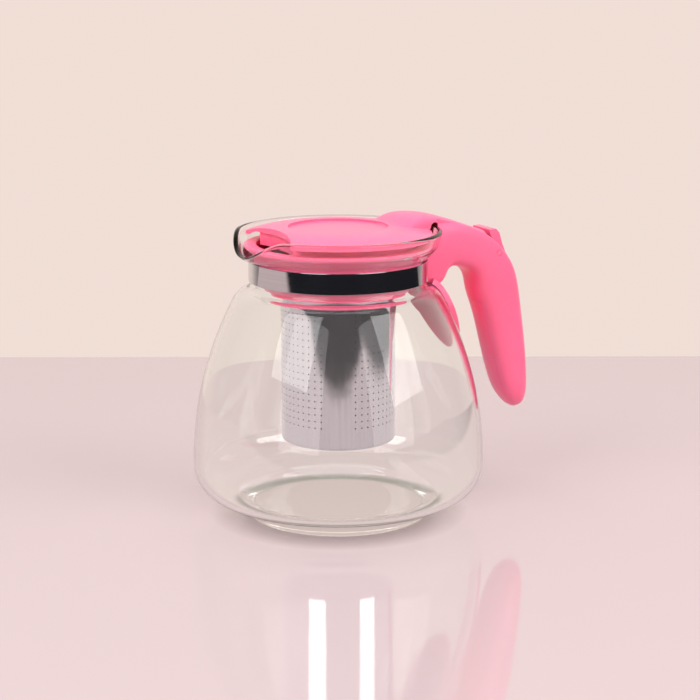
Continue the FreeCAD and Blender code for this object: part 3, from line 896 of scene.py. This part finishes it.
    def outline(self) -> list[Pair]:
        """The whole section from the middle of the foot, up, over the rim and back to the floor."""
        outer = self.wall_points(0.0)
        inner = self.wall_points(-self.wall)
        rise = math.tan(math.radians(self.underside_slope))
        foot_top = outer[0][1] - (outer[0][0] - self.foot_top_radius) * rise
        crease_radius = self.foot_top_radius - self.wall / 4
        crease = (crease_radius, inner[0][1] - (inner[0][0] - crease_radius) * rise)
        foot_centre = (self.foot_radius - self.foot_round, self.foot_round)
        foot = arc_points(foot_centre, self.foot_round, -90, 0, self.foot_chords)
        bottom = [(0.0, 0.0), (self.foot_radius * 0.6, 0.0)]
        outside = bottom + foot
        outside += [(self.foot_top_radius - 0.3, foot_top - 0.5), (self.foot_top_radius + 0.6, foot_top + 0.15)]
        inside = inner[::-1] + [(crease[0] + 0.6, crease[1] + 0.15), (crease[0] - 0.4, crease[1] - 0.4)]
        level = self.floor_thickness
        floor = [(self.floor_radius + 0.5, level + 0.4), (self.floor_radius - 0.8, level), (0.0, level)]
        return outside + outer + self.cup_points() + inside + floor

    def build(self, finishes: Finishes) -> None:
        """Make the jug.

        Args:
            finishes: The object's materials.
        """
        jug = turned("jug_glass", self.outline(), self.segments, False, self.lipped, self.crease_deg)
        jug.visible_shadow = False
        dress(jug, finishes.glass, Body.JUG, Slot.GLASS, "glass_jug")


@dataclass
class NeckClamp:
    """Steel hoop round the neck with its two ears, screw and nut. Millimetres."""

    inner: float = 43.5
    outer: float = 44.1
    bottom: float = 118.1
    top: float = 128.2
    edge: float = 0.14
    ear_gap: float = 1.0
    ear_end: float = 55.1
    segments: int = 256

    def build(self, finishes: Finishes, nodes: dict[str, bpy.types.Object]) -> None:
        """Make the hoop with its ears, and dress the screw and nut.

        Args:
            finishes: The object's materials.
            nodes: Nodes of the part by name.
        """
        corners = [
            (self.inner, self.bottom),
            (self.outer, self.bottom),
            (self.outer, self.top),
            (self.inner, self.top),
        ]
        hoop = turned("neck_hoop", rounded(corners, self.edge, 3), self.segments, True)
        work = bmesh.new()
        work.from_mesh(hoop.data)
        thickness = self.outer - self.inner
        for side in (-1.0, 1.0):
            ear = bmesh.ops.create_cube(work, size=1.0)["verts"]
            length = self.ear_end - self.inner
            bmesh.ops.scale(work, verts=ear, vec=(length * MM, thickness * MM, (self.top - self.bottom) * MM))
            middle = (
                (self.inner + length / 2) * MM,
                side * (self.ear_gap + thickness / 2) * MM,
                (self.top + self.bottom) / 2 * MM,
            )
            bmesh.ops.translate(work, verts=ear, vec=middle)
        work.to_mesh(hoop.data)
        work.free()
        dress(hoop, finishes.band, Body.JUG, Slot.BAND, "neck_band")
        for node, name in (("band_screw", "clamp_screw"), ("band_nut", "clamp_nut")):
            piece = merged_copy(nodes[node], name, METAL_CREASE_DEG)
            dress(piece, finishes.plain, Body.JUG, Slot.FASTENER, node)


@dataclass
class HandleGroup:
    """Pink handle with its grip cover, the lid's pin and the lever's spring."""

    crease_deg: float = 42.0
    coil_crease_deg: float = 50.0

    def build(self, finishes: Finishes, nodes: dict[str, bpy.types.Object]) -> None:
        """Dress the handle's pieces.

        Args:
            finishes: The object's materials.
            nodes: Nodes of the part by name.
        """
        for node, name in (("handle_shell", "handle_moulding"), ("grip_cover", "grip_inlay")):
            piece = merged_copy(nodes[node], name, self.crease_deg)
            dress(piece, finishes.pink, Body.JUG, Slot.PLASTIC, node)
        pin = merged_copy(nodes["lid_pin"], "lid_hinge_pin", METAL_CREASE_DEG)
        dress(pin, finishes.pin, Body.JUG, Slot.PIN, "lid_pin")
        spring = merged_copy(nodes["lever_spring"], "lever_coil", self.coil_crease_deg)
        dress(spring, finishes.plain, Body.JUG, Slot.SPRING, "lever_spring")


@dataclass
class LidGroup:
    """Domed lid with its humped arm and the plug below it."""

    crease_deg: float = 38.0

    def build(self, finishes: Finishes, nodes: dict[str, bpy.types.Object]) -> None:
        """Dress the lid's pieces.

        Args:
            finishes: The object's materials.
            nodes: Nodes of the part by name.
        """
        for node, name in (("lid_cap", "lid_shell"), ("lid_plug", "lid_insert")):
            piece = merged_copy(nodes[node], name, self.crease_deg)
            dress(piece, finishes.pink, Body.LID, Slot.PLASTIC, node)


@dataclass
class LeverGroup:
    """Thumb lever and its pin."""

    crease_deg: float = 30.0

    def build(self, finishes: Finishes, nodes: dict[str, bpy.types.Object]) -> None:
        """Dress the lever's pieces.

        Args:
            finishes: The object's materials.
            nodes: Nodes of the part by name.
        """
        lever = merged_copy(nodes["thumb_lever"], "thumb_pad", self.crease_deg)
        dress(lever, finishes.pink, Body.LEVER, Slot.PLASTIC, "thumb_lever")
        pin = merged_copy(nodes["lever_pin"], "lever_pivot", METAL_CREASE_DEG)
        dress(pin, finishes.pin, Body.LEVER, Slot.PIN, "lever_pin")


class TreeSketch(NodeBoard):
    """A geometry node tree with named inputs."""

    def __init__(self, name: str) -> None:
        """Start an empty tree.

        Args:
            name: The tree's name.
        """
        super().__init__(bpy.data.node_groups.new(name, "GeometryNodeTree"))
        self.tree.interface.new_socket("Geometry", in_out="OUTPUT", socket_type="NodeSocketGeometry")
        self.identifiers: dict[str, str] = {}
        self.source = self.tree.nodes.new("NodeGroupInput")
        self.sink = self.tree.nodes.new("NodeGroupOutput")

    def declare(self, name: str, kind: str) -> None:
        """Add a named input.

        Args:
            name: The input's name.
            kind: The socket's type.
        """
        socket = self.tree.interface.new_socket(name, in_out="INPUT", socket_type=kind)
        self.identifiers[name] = socket.identifier

    def given(self, name: str) -> bpy.types.NodeSocket:
        """The socket of a named input."""
        return self.source.outputs[name]

    def finish(self, geometry: bpy.types.NodeSocket, material: bpy.types.NodeSocket) -> None:
        """End the tree in real geometry with a material.

        Args:
            geometry: Instances to make real.
            material: The material's socket.
        """
        real = self.add("GeometryNodeRealizeInstances", Geometry=geometry)
        dressed = self.add("GeometryNodeSetMaterial", Geometry=real.outputs[0], Material=material)
        self.link(dressed.outputs[0], self.sink.inputs[0])

    def made(self, name: str, values: dict[str, object]) -> bpy.types.Object:
        """Run the tree and keep its result as a plain mesh.

        Args:
            name: Name of the piece.
            values: Value of each named input.

        Returns:
            The piece.
        """
        piece = link_piece(bpy.data.meshes.new(name + "_seed"), name)
        modifier = piece.modifiers.new("pattern", "NODES")
        modifier.node_group = self.tree
        for key, value in values.items():
            modifier[self.identifiers[key]] = value
        kept(piece).data.name = name
        return piece


@dataclass
class Strainer:
    """Pink collar and ring with the pierced steel basket that hangs from them. Millimetres."""

    collar_radius: float = 45.9
    collar_top: float = 136.0
    neck_outer: float = 40.6
    neck_bore: float = 38.6
    funnel_top: float = 117.5
    funnel_radius: float = 33.0
    funnel_bottom: float = 112.5
    ring_bottom: float = 109.5
    basket_radius: float = 28.2
    basket_wall: float = 0.5
    basket_bottom: float = 38.3
    flange: float = 2.3
    rows: int = 18
    pitch: float = 3.3
    hole_radius: float = 0.38
    top_margin: float = 4.2
    blank_deg: float = 34.0
    seam_deg: float = -116.0
    hole_sides: int = 10
    hole_proud: float = 0.03
    collar_edge: float = 1.3
    collar_flare: tuple[Pair, ...] = ((44.4, 133.3), (42.6, 131.7), (41.1, 130.3), (40.6, 128.6))
    mouth_radius: float = 40.0
    mouth_height: float = 134.2
    bore_top: float = 128.4
    seat_play: float = 0.4
    seat_depth: float = 2.0
    funnel_wall: float = 1.0
    collar_round: float = 0.7
    ring_play: float = 0.1
    ring_round: float = 0.6
    sleeve_round: float = 0.12
    dish_play: float = 0.02
    dish_flat: float = 14.0
    dish_rise: float = 3.0
    dish_bend: float = 1.2
    segments: int = 192

    def collar_outline(self) -> list[Pair]:
        """Section of the collar with its flange, neck and funnel."""
        ledge = self.basket_radius + self.flange + self.seat_play
        return [
            (self.collar_radius, self.collar_top),
            (self.collar_radius, self.collar_top - self.collar_edge),
            *self.collar_flare,
            (self.neck_outer, self.funnel_top),
            (self.funnel_radius, self.funnel_bottom),
            (ledge, self.funnel_bottom),
            (ledge, self.funnel_bottom + self.seat_depth),
            (self.neck_bore, self.funnel_top + self.funnel_wall),
            (self.neck_bore, self.bore_top),
            (self.mouth_radius, self.mouth_height),
            (self.mouth_radius, self.collar_top),
        ]

    def pierced(self, finishes: Finishes) -> bpy.types.Object:
        """Punched holes of the basket wall, as dark plugs in painted shade.

        Args:
            finishes: The object's materials.

        Returns:
            All the holes as one piece.
        """
        sketch = TreeSketch("basket_piercing")
        for name, kind in (
            ("Rows", "NodeSocketInt"),
            ("Columns", "NodeSocketInt"),
            ("Radius", "NodeSocketFloat"),
            ("Middle", "NodeSocketFloat"),
            ("Height", "NodeSocketFloat"),
            ("Start", "NodeSocketFloat"),
            ("Span", "NodeSocketFloat"),
            ("Hole", "NodeSocketFloat"),
            ("Depth", "NodeSocketFloat"),
            ("Finish", "NodeSocketMaterial"),
        ):
            sketch.declare(name, kind)
        grid = sketch.add(
            "GeometryNodeMeshGrid",
            Size_X=sketch.given("Span"),
            Size_Y=sketch.given("Height"),
            Vertices_X=sketch.given("Columns"),
            Vertices_Y=sketch.given("Rows"),
        )
        position = sketch.add("GeometryNodeInputPosition").outputs[0]
        flat = sketch.add("ShaderNodeSeparateXYZ", Vector=position)
        angle = sketch.math("ADD", flat.outputs["X"], sketch.given("Start"))
        radius = sketch.given("Radius")
        place = sketch.add(
            "ShaderNodeCombineXYZ",
            X=sketch.math("MULTIPLY", sketch.math("COSINE", angle), radius),
            Y=sketch.math("MULTIPLY", sketch.math("SINE", angle), radius),
            Z=sketch.math("ADD", flat.outputs["Y"], sketch.given("Middle")),
        )
        wrapped = sketch.add("GeometryNodeSetPosition", Geometry=grid.outputs[0], Position=place.outputs[0])
        plug = sketch.add(
            "GeometryNodeMeshCylinder",
            Vertices=self.hole_sides,
            Radius=sketch.given("Hole"),
            Depth=sketch.given("Depth"),
        )
        around = sketch.add("ShaderNodeSeparateXYZ", Vector=position)
        turn = sketch.add(
            "ShaderNodeCombineXYZ",
            X=0.0,
            Y=math.pi / 2,
            Z=sketch.math("ARCTAN2", around.outputs["Y"], around.outputs["X"]),
        )
        holes = sketch.add(
            "GeometryNodeInstanceOnPoints",
            Points=wrapped.outputs[0],
            Instance=plug.outputs[0],
            Rotation=turn.outputs[0],
        )
        sketch.finish(holes.outputs[0], sketch.given("Finish"))
        span_deg = 360.0 - self.blank_deg
        columns = round(math.radians(span_deg) * self.basket_radius / self.pitch) + 1
        height = (self.rows - 1) * self.pitch
        top = self.ring_bottom - self.top_margin
        return sketch.made(
            "basket_holes",
            {
                "Rows": self.rows,
                "Columns": columns,
                "Radius": (self.basket_radius - self.basket_wall / 2) * MM,
                "Middle": (top - height / 2) * MM,
                "Height": height * MM,
                "Start": math.radians(self.seam_deg + 180.0),
                "Span": math.radians(span_deg),
                "Hole": self.hole_radius * MM,
                "Depth": (self.basket_wall + self.hole_proud) * MM,
                "Finish": finishes.painted_hole_shade,
            },
        )

    def dish_outline(self, inner: float, foot: float) -> list[Pair]:
        """Section of the basket's floor with its upturned edge.

        Args:
            inner: Inner radius of the sleeve.
            foot: Height of the sleeve's lower end.

        Returns:
            Points from the middle below, round the edge, to the middle above.
        """
        bend = self.basket_wall * 2
        base, play, wall = self.basket_bottom, self.dish_play, self.basket_wall
        points = [(0.0, base + play), (self.dish_flat, base + play)]
        points += arc_points((self.basket_radius - bend, base + bend), bend - play, -90, 0, 8)
        points += [(inner - play, foot - play), (inner - play, base + self.dish_rise)]
        edge = inner - play - wall
        top = base + play + wall
        points += [(edge, base + self.dish_rise), (edge, base + self.dish_bend)]
        points += [(inner - self.dish_bend, top), (0.0, top)]
        return points

    def build(self, finishes: Finishes) -> None:
        """Make the collar, ring, basket and floor.

        Args:
            finishes: The object's materials.
        """
        funnel = rounded(self.collar_outline(), self.collar_round)
        collar = turned("strainer_funnel", funnel, self.segments, True)
        dress(collar, finishes.pink, Body.STRAINER, Slot.PLASTIC, "strainer_collar")
        bore = self.basket_radius + self.seat_play
        ledge = self.basket_radius + self.flange + self.ring_play
        seat = self.funnel_bottom - self.basket_wall
        ring_corners = [
            (bore, self.ring_bottom),
            (self.funnel_radius, self.ring_bottom),
            (self.funnel_radius, self.funnel_bottom),
            (ledge, self.funnel_bottom),
            (ledge, seat),
            (bore, seat),
        ]
        ring = turned("strainer_ring", rounded(ring_corners, self.ring_round), self.segments, True)
        dress(ring, finishes.pink, Body.STRAINER, Slot.PLASTIC, "basket_ring")
        inner = self.basket_radius - self.basket_wall
        foot = self.basket_bottom + self.basket_wall * 2
        sleeve_corners = [
            (self.basket_radius, foot),
            (self.basket_radius, seat),
            (self.basket_radius + self.flange, seat),
            (self.basket_radius + self.flange, self.funnel_bottom),
            (inner, self.funnel_bottom),
            (inner, foot),
        ]
        sleeve = turned("basket_wall", rounded(sleeve_corners, self.sleeve_round, 2), self.segments, True)
        dress(sleeve, finishes.sheet, Body.STRAINER, Slot.SHEET, "basket_sleeve")
        dish = turned("basket_dish", self.dish_outline(inner, foot), self.segments, False)
        dress(dish, finishes.sheet, Body.STRAINER, Slot.SHEET, "basket_floor")
        # The holes are dark plugs in painted shade on the uncut basket wall.
        dress(self.pierced(finishes), finishes.painted_hole_shade, Body.STRAINER, Slot.SHEET)


@dataclass
class Studio:
    """Camera, table, lamps and background. Metres, on axes that face the camera."""

    azimuth_deg: float = 26.0
    distance: float = 0.872
    height: float = 0.277
    pitch_deg: float = 12.59
    yaw_deg: float = 0.38
    focal_px: float = 1806.0
    frame_px: float = 700.0
    sensor_mm: float = 36.0
    table_back: float = 0.346
    table_front: float = 4.0
    table_half: float = 5.0
    table_level: float = 0.0002
    aim_height: float = 0.09
    lamp_colour: Colour = (1.0, 0.99, 0.98)
    card_colour: Colour = (1.0, 0.99, 0.98)
    card_shade: Colour = (0.93, 0.94, 0.96)
    card_drift: float = 3.0
    wall_edge: Pair = (0.45, 0.8)
    fill_strength: float = 0.75
    wall: Colour = (0.875, 0.735, 0.67)
    fill: Colour = (1.0, 0.96, 0.94)
    card_near: float = 0.85
    card_far: float = 1.05
    dim: Colour = (0.12, 0.11, 0.11)

    def place(self, right: float, away: float, up: float) -> Vector:
        """A point given on axes that face the camera.

        Args:
            right: Distance to the right.
            away: Distance from the camera past the object's axis.
            up: Height.

        Returns:
            The point in the part's frame.
        """
        turn = math.radians(self.azimuth_deg)
        cosine, sine = math.cos(turn), math.sin(turn)
        return Vector((right * cosine + away * sine, away * cosine - right * sine, up))

    def camera(self) -> None:
        """Set the camera at the photograph's viewing angle."""
        data = bpy.data.cameras.new("view")
        data.sensor_fit = "HORIZONTAL"
        data.sensor_width = self.sensor_mm
        data.lens = self.focal_px * self.sensor_mm / self.frame_px
        data.clip_start = 0.01
        camera = bpy.data.objects.new("view", data)
        bpy.context.scene.collection.objects.link(camera)
        camera.location = self.place(0.0, -self.distance, self.height)
        pitch = math.radians(self.pitch_deg)
        yaw = math.radians(self.yaw_deg)
        level = math.cos(pitch)
        ahead = self.place(math.sin(yaw) * level, math.cos(yaw) * level, -math.sin(pitch))
        camera.rotation_euler = ahead.to_track_quat("-Z", "Y").to_euler()
        bpy.context.scene.camera = camera

    def plate(self, name: str, corners: list[Spot]) -> bpy.types.Object:
        """A flat sheet that belongs to the studio.

        Args:
            name: Name of the sheet.
            corners: Corners on the axes that face the camera.

        Returns:
            The sheet.
        """
        mesh = bpy.data.meshes.new(name)
        places = [tuple(self.place(*corner)) for corner in corners]
        mesh.from_pydata(places, [], [list(range(len(places)))])
        piece = link_piece(mesh, name)
        return piece

    def table(self) -> None:
        """Lay the table."""
        back, front, half = self.table_back, -self.table_front, self.table_half
        low = self.table_level
        corners = [(-half, front, low), (half, front, low), (half, back, low), (-half, back, low)]
        top = self.plate("table", corners)
        finish = TableTop(tuple(self.place(1.0, 0.0, 0.0)), tuple(self.place(0.0, 1.0, 0.0)))
        top.data.materials.append(finish.material("table_top"))

    def softbox(self, name: str, spot: Spot, size: Pair, watts: float) -> None:
        """Hang a soft lamp that faces the object.

        Args:
            name: Name of the lamp.
            spot: Place on the axes that face the camera.
            size: Width and height.
            watts: Power.
        """
        data = bpy.data.lights.new(name, "AREA")
        data.shape = "RECTANGLE"
        data.size, data.size_y = size
        data.energy = watts
        data.color = self.lamp_colour
        lamp = bpy.data.objects.new(name, data)
        bpy.context.scene.collection.objects.link(lamp)
        lamp.location = self.place(*spot)
        aim = Vector((0.0, 0.0, self.aim_height)) - lamp.location
        lamp.rotation_euler = aim.to_track_quat("-Z", "Y").to_euler()
        lamp.visible_glossy = False
        lamp.visible_camera = False

    def card(self, name: str, spot: Spot, size: Pair, glow: float) -> None:
        """Hang a glowing card that only mirrors show, and of those not the near table.

        Args:
            name: Name of the card.
            spot: Its middle on the axes that face the camera.
            size: Width and height.
            glow: Brightness.
        """
        facing = Vector((0.0, 0.0, self.aim_height)) - Vector(spot)
        across = facing.cross(Vector((0.0, 0.0, 1.0))).normalized() * (size[0] / 2)
        upward = across.cross(facing).normalized() * (size[1] / 2)
        corners = []
        for side, rise in ((-1, -1), (1, -1), (1, 1), (-1, 1)):
            corners.append(tuple(Vector(spot) + across * side + upward * rise))
        card = self.plate(name, corners)
        sheet = NodeSheet(name)
        sheet.set(Emission_Strength=glow)
        colour = sheet.mixed(sheet.noise(self.card_drift), self.card_colour, self.card_shade)
        sheet.link(colour, sheet.shader.inputs["Emission Color"])
        path = sheet.add("ShaderNodeLightPath").outputs
        mirror = sheet.add(
            "ShaderNodeMath",
            operation="SUBTRACT",
            use_clamp=True,
            i0=path["Is Glossy Ray"],
            i1=path["Is Transmission Ray"],
        )
        afar = sheet.add(
            "ShaderNodeMapRange", Value=path["Ray Length"], From_Min=self.card_near, From_Max=self.card_far
        )
        shown = sheet.math("MULTIPLY", mirror.outputs[0], afar.outputs["Result"])
        clear = sheet.add("ShaderNodeBsdfTransparent").outputs[0]
        sheet.show(sheet.blended(shown, clear, sheet.shader.outputs[0]))
        card.data.materials.append(sheet.material)
        card.visible_camera = False
        card.visible_diffuse = False
        card.visible_shadow = False
        card.visible_transmission = False

    def backdrop(self) -> None:
        """Light the room evenly, with a cream wall behind the table and a dim room behind the camera."""
        world = bpy.data.worlds.new("room")
        bpy.context.scene.world = world
        world.use_nodes = True
        board = NodeBoard(world.node_tree)
        board.tree.nodes.clear()
        path = board.add("ShaderNodeLightPath").outputs
        seen = board.math("MAXIMUM", path["Is Camera Ray"], path["Is Transmission Ray"])
        also = board.math("MAXIMUM", seen, path["Is Glossy Ray"])
        where = board.add("ShaderNodeTexCoord").outputs["Generated"]
        away = self.place(0.0, 1.0, 0.0)
        along = board.add("ShaderNodeVectorMath", operation="DOT_PRODUCT", i0=where, i1=away).outputs["Value"]
        start, end = self.wall_edge
        behind = board.add("ShaderNodeMapRange", Value=along, From_Min=start, From_Max=end).outputs["Result"]
        shade = board.ramp(board.math("MAXIMUM", behind, seen), (0.0, self.dim), (1.0, self.wall))
        room = board.add("ShaderNodeBackground", Color=(*self.fill, 1.0), Strength=self.fill_strength)
        wall = board.add("ShaderNodeBackground", Color=shade)
        lit = board.blended(also, room.outputs[0], wall.outputs[0])
        board.add("ShaderNodeOutputWorld", Surface=lit)

    def build(self) -> None:
        """Set up the whole studio."""
        self.camera()
        self.table()
        self.backdrop()
        self.softbox("left_softbox", (-0.9, -0.9, 1.0), (1.0, 1.0), 15.0)
        self.softbox("right_softbox", (1.1, -0.6, 0.8), (0.8, 1.0), 12.5)
        self.softbox("top_softbox", (0.0, 0.1, 1.5), (1.2, 1.0), 9.0)
        self.card("right_card", (0.76, -0.80, 0.46), (0.74, 0.95), 1.5)
        self.card("left_card", (-0.56, -0.95, 0.46), (0.70, 0.95), 1.5)
        bpy.context.scene.view_settings.view_transform = "Standard"


def main() -> None:
    """Build the teapot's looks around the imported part."""
    logging.basicConfig(level=logging.INFO, format="%(name)s: %(message)s")
    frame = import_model()
    nodes = frame["nodes"]
    finishes = Finishes()
    GlassJug().build(finishes)
    NeckClamp().build(finishes, nodes)
    HandleGroup().build(finishes, nodes)
    LidGroup().build(finishes, nodes)
    LeverGroup().build(finishes, nodes)
    Strainer().build(finishes)
    Studio().build()


if __name__ == "__main__":
    main()
